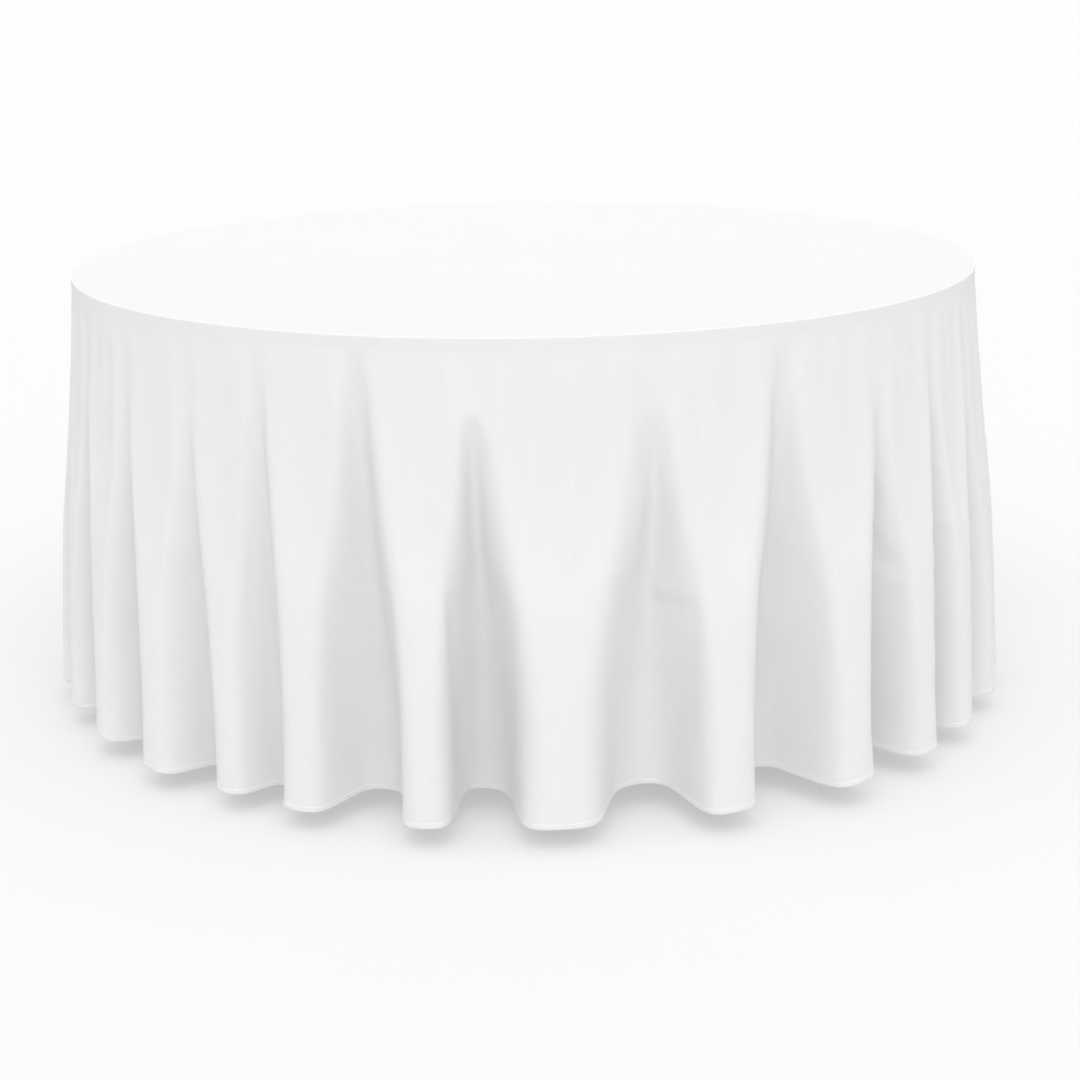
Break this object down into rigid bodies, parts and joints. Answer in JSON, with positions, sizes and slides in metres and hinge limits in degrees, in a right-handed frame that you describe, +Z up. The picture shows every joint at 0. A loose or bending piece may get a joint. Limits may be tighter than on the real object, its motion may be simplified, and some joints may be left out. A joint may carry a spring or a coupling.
{
  "type": "round table with full-length tablecloth",
  "caption": "Full-length round white tablecloth with soft folds, over a round folding table with two folding leg frames.",
  "frame": {"origin": "on the floor under the middle of the table", "axes": "+Z up, -Y to the front, +X to the right as seen from the front; the leg frames' hinges lie along Y"},
  "size_m": [1.6503, 1.665, 0.7423],
  "materials": {
    "cloth": "matt woven polyester with a faint sheen",
    "plywood": "sanded and sealed birch plywood",
    "edge_vinyl": "satin",
    "pine": "planed softwood",
    "grey_steel": "powder coat, fine texture",
    "zinc_steel": "bright zinc plate",
    "black_rubber": "matt"
  },
  "bodies": {
    "table": {"tablecloth": "cloth", "table_board": "plywood", "edge_moulding": "edge_vinyl", "runner_front": "pine", "runner_screw_front_1": "zinc_steel", "runner_screw_front_2": "zinc_steel", "runner_screw_front_3": "zinc_steel", "runner_rear": "pine", "runner_screw_rear_1": "zinc_steel", "runner_screw_rear_2": "zinc_steel", "runner_screw_rear_3": "zinc_steel", "hinge_bracket_left_front": "zinc_steel", "bracket_screw_left_front_inner": "zinc_steel", "bracket_screw_left_front_outer": "zinc_steel", "stay_pin_left_front": "zinc_steel", "hinge_bracket_left_rear": "zinc_steel", "bracket_screw_left_rear_inner": "zinc_steel", "bracket_screw_left_rear_outer": "zinc_steel", "stay_pin_left_rear": "zinc_steel", "storage_clip_left": "zinc_steel", "clip_screw_left": "zinc_steel", "hinge_bracket_right_front": "zinc_steel", "bracket_screw_right_front_inner": "zinc_steel", "bracket_screw_right_front_outer": "zinc_steel", "stay_pin_right_front": "zinc_steel", "hinge_bracket_right_rear": "zinc_steel", "bracket_screw_right_rear_inner": "zinc_steel", "bracket_screw_right_rear_outer": "zinc_steel", "stay_pin_right_rear": "zinc_steel", "storage_clip_right": "zinc_steel", "clip_screw_right": "zinc_steel"},
    "left_legs": {"left_hinge_tube": "grey_steel", "left_stretcher": "grey_steel", "left_leg_front": "grey_steel", "left_foot_front": "black_rubber", "left_leg_rear": "grey_steel", "left_foot_rear": "black_rubber"},
    "left_stay_upper": {"stay_upper_link_left_front": "grey_steel", "stay_elbow_rivet_left_front": "zinc_steel", "stay_upper_link_left_rear": "grey_steel", "stay_elbow_rivet_left_rear": "zinc_steel"},
    "left_stay_lower": {"stay_lower_link_left_front": "grey_steel", "stay_leg_rivet_left_front": "zinc_steel", "stay_lower_link_left_rear": "grey_steel", "stay_leg_rivet_left_rear": "zinc_steel"},
    "right_legs": {"right_hinge_tube": "grey_steel", "right_stretcher": "grey_steel", "right_leg_front": "grey_steel", "right_foot_front": "black_rubber", "right_leg_rear": "grey_steel", "right_foot_rear": "black_rubber"},
    "right_stay_upper": {"stay_upper_link_right_front": "grey_steel", "stay_elbow_rivet_right_front": "zinc_steel", "stay_upper_link_right_rear": "grey_steel", "stay_elbow_rivet_right_rear": "zinc_steel"},
    "right_stay_lower": {"stay_lower_link_right_front": "grey_steel", "stay_leg_rivet_right_front": "zinc_steel", "stay_lower_link_right_rear": "grey_steel", "stay_leg_rivet_right_rear": "zinc_steel"}
  },
  "joints": [
    {"name": "left_leg_fold", "type": "hinge", "parent": "table", "child": "left_legs", "pos_m": [-0.45, 0, 0.7], "axis": [0, -1, 0], "range_deg": [0, 90]},
    {"name": "left_stay_swing", "type": "hinge", "parent": "table", "child": "left_stay_upper", "pos_m": [-0.1, 0, 0.7], "axis": [0, -1, 0], "range_deg": [-45, 0]},
    {"name": "left_stay_elbow", "type": "hinge", "parent": "left_stay_upper", "child": "left_stay_lower", "pos_m": [-0.275, 0, 0.525], "axis": [0, -1, 0], "range_deg": [0, 180]},
    {"name": "right_leg_fold", "type": "hinge", "parent": "table", "child": "right_legs", "pos_m": [0.45, 0, 0.664], "axis": [0, 1, 0], "range_deg": [0, 90]},
    {"name": "right_stay_swing", "type": "hinge", "parent": "table", "child": "right_stay_upper", "pos_m": [0.1, 0, 0.664], "axis": [0, 1, 0], "range_deg": [-45, 0]},
    {"name": "right_stay_elbow", "type": "hinge", "parent": "right_stay_upper", "child": "right_stay_lower", "pos_m": [0.275, 0, 0.489], "axis": [0, 1, 0], "range_deg": [0, 180]}
  ],
  "couplings": [
    {"joint": "left_stay_swing", "follows": "left_leg_fold", "ratio": -0.5},
    {"joint": "left_stay_elbow", "follows": "left_leg_fold", "ratio": 2},
    {"joint": "right_stay_swing", "follows": "right_leg_fold", "ratio": -0.5},
    {"joint": "right_stay_elbow", "follows": "right_leg_fold", "ratio": 2}
  ]
}
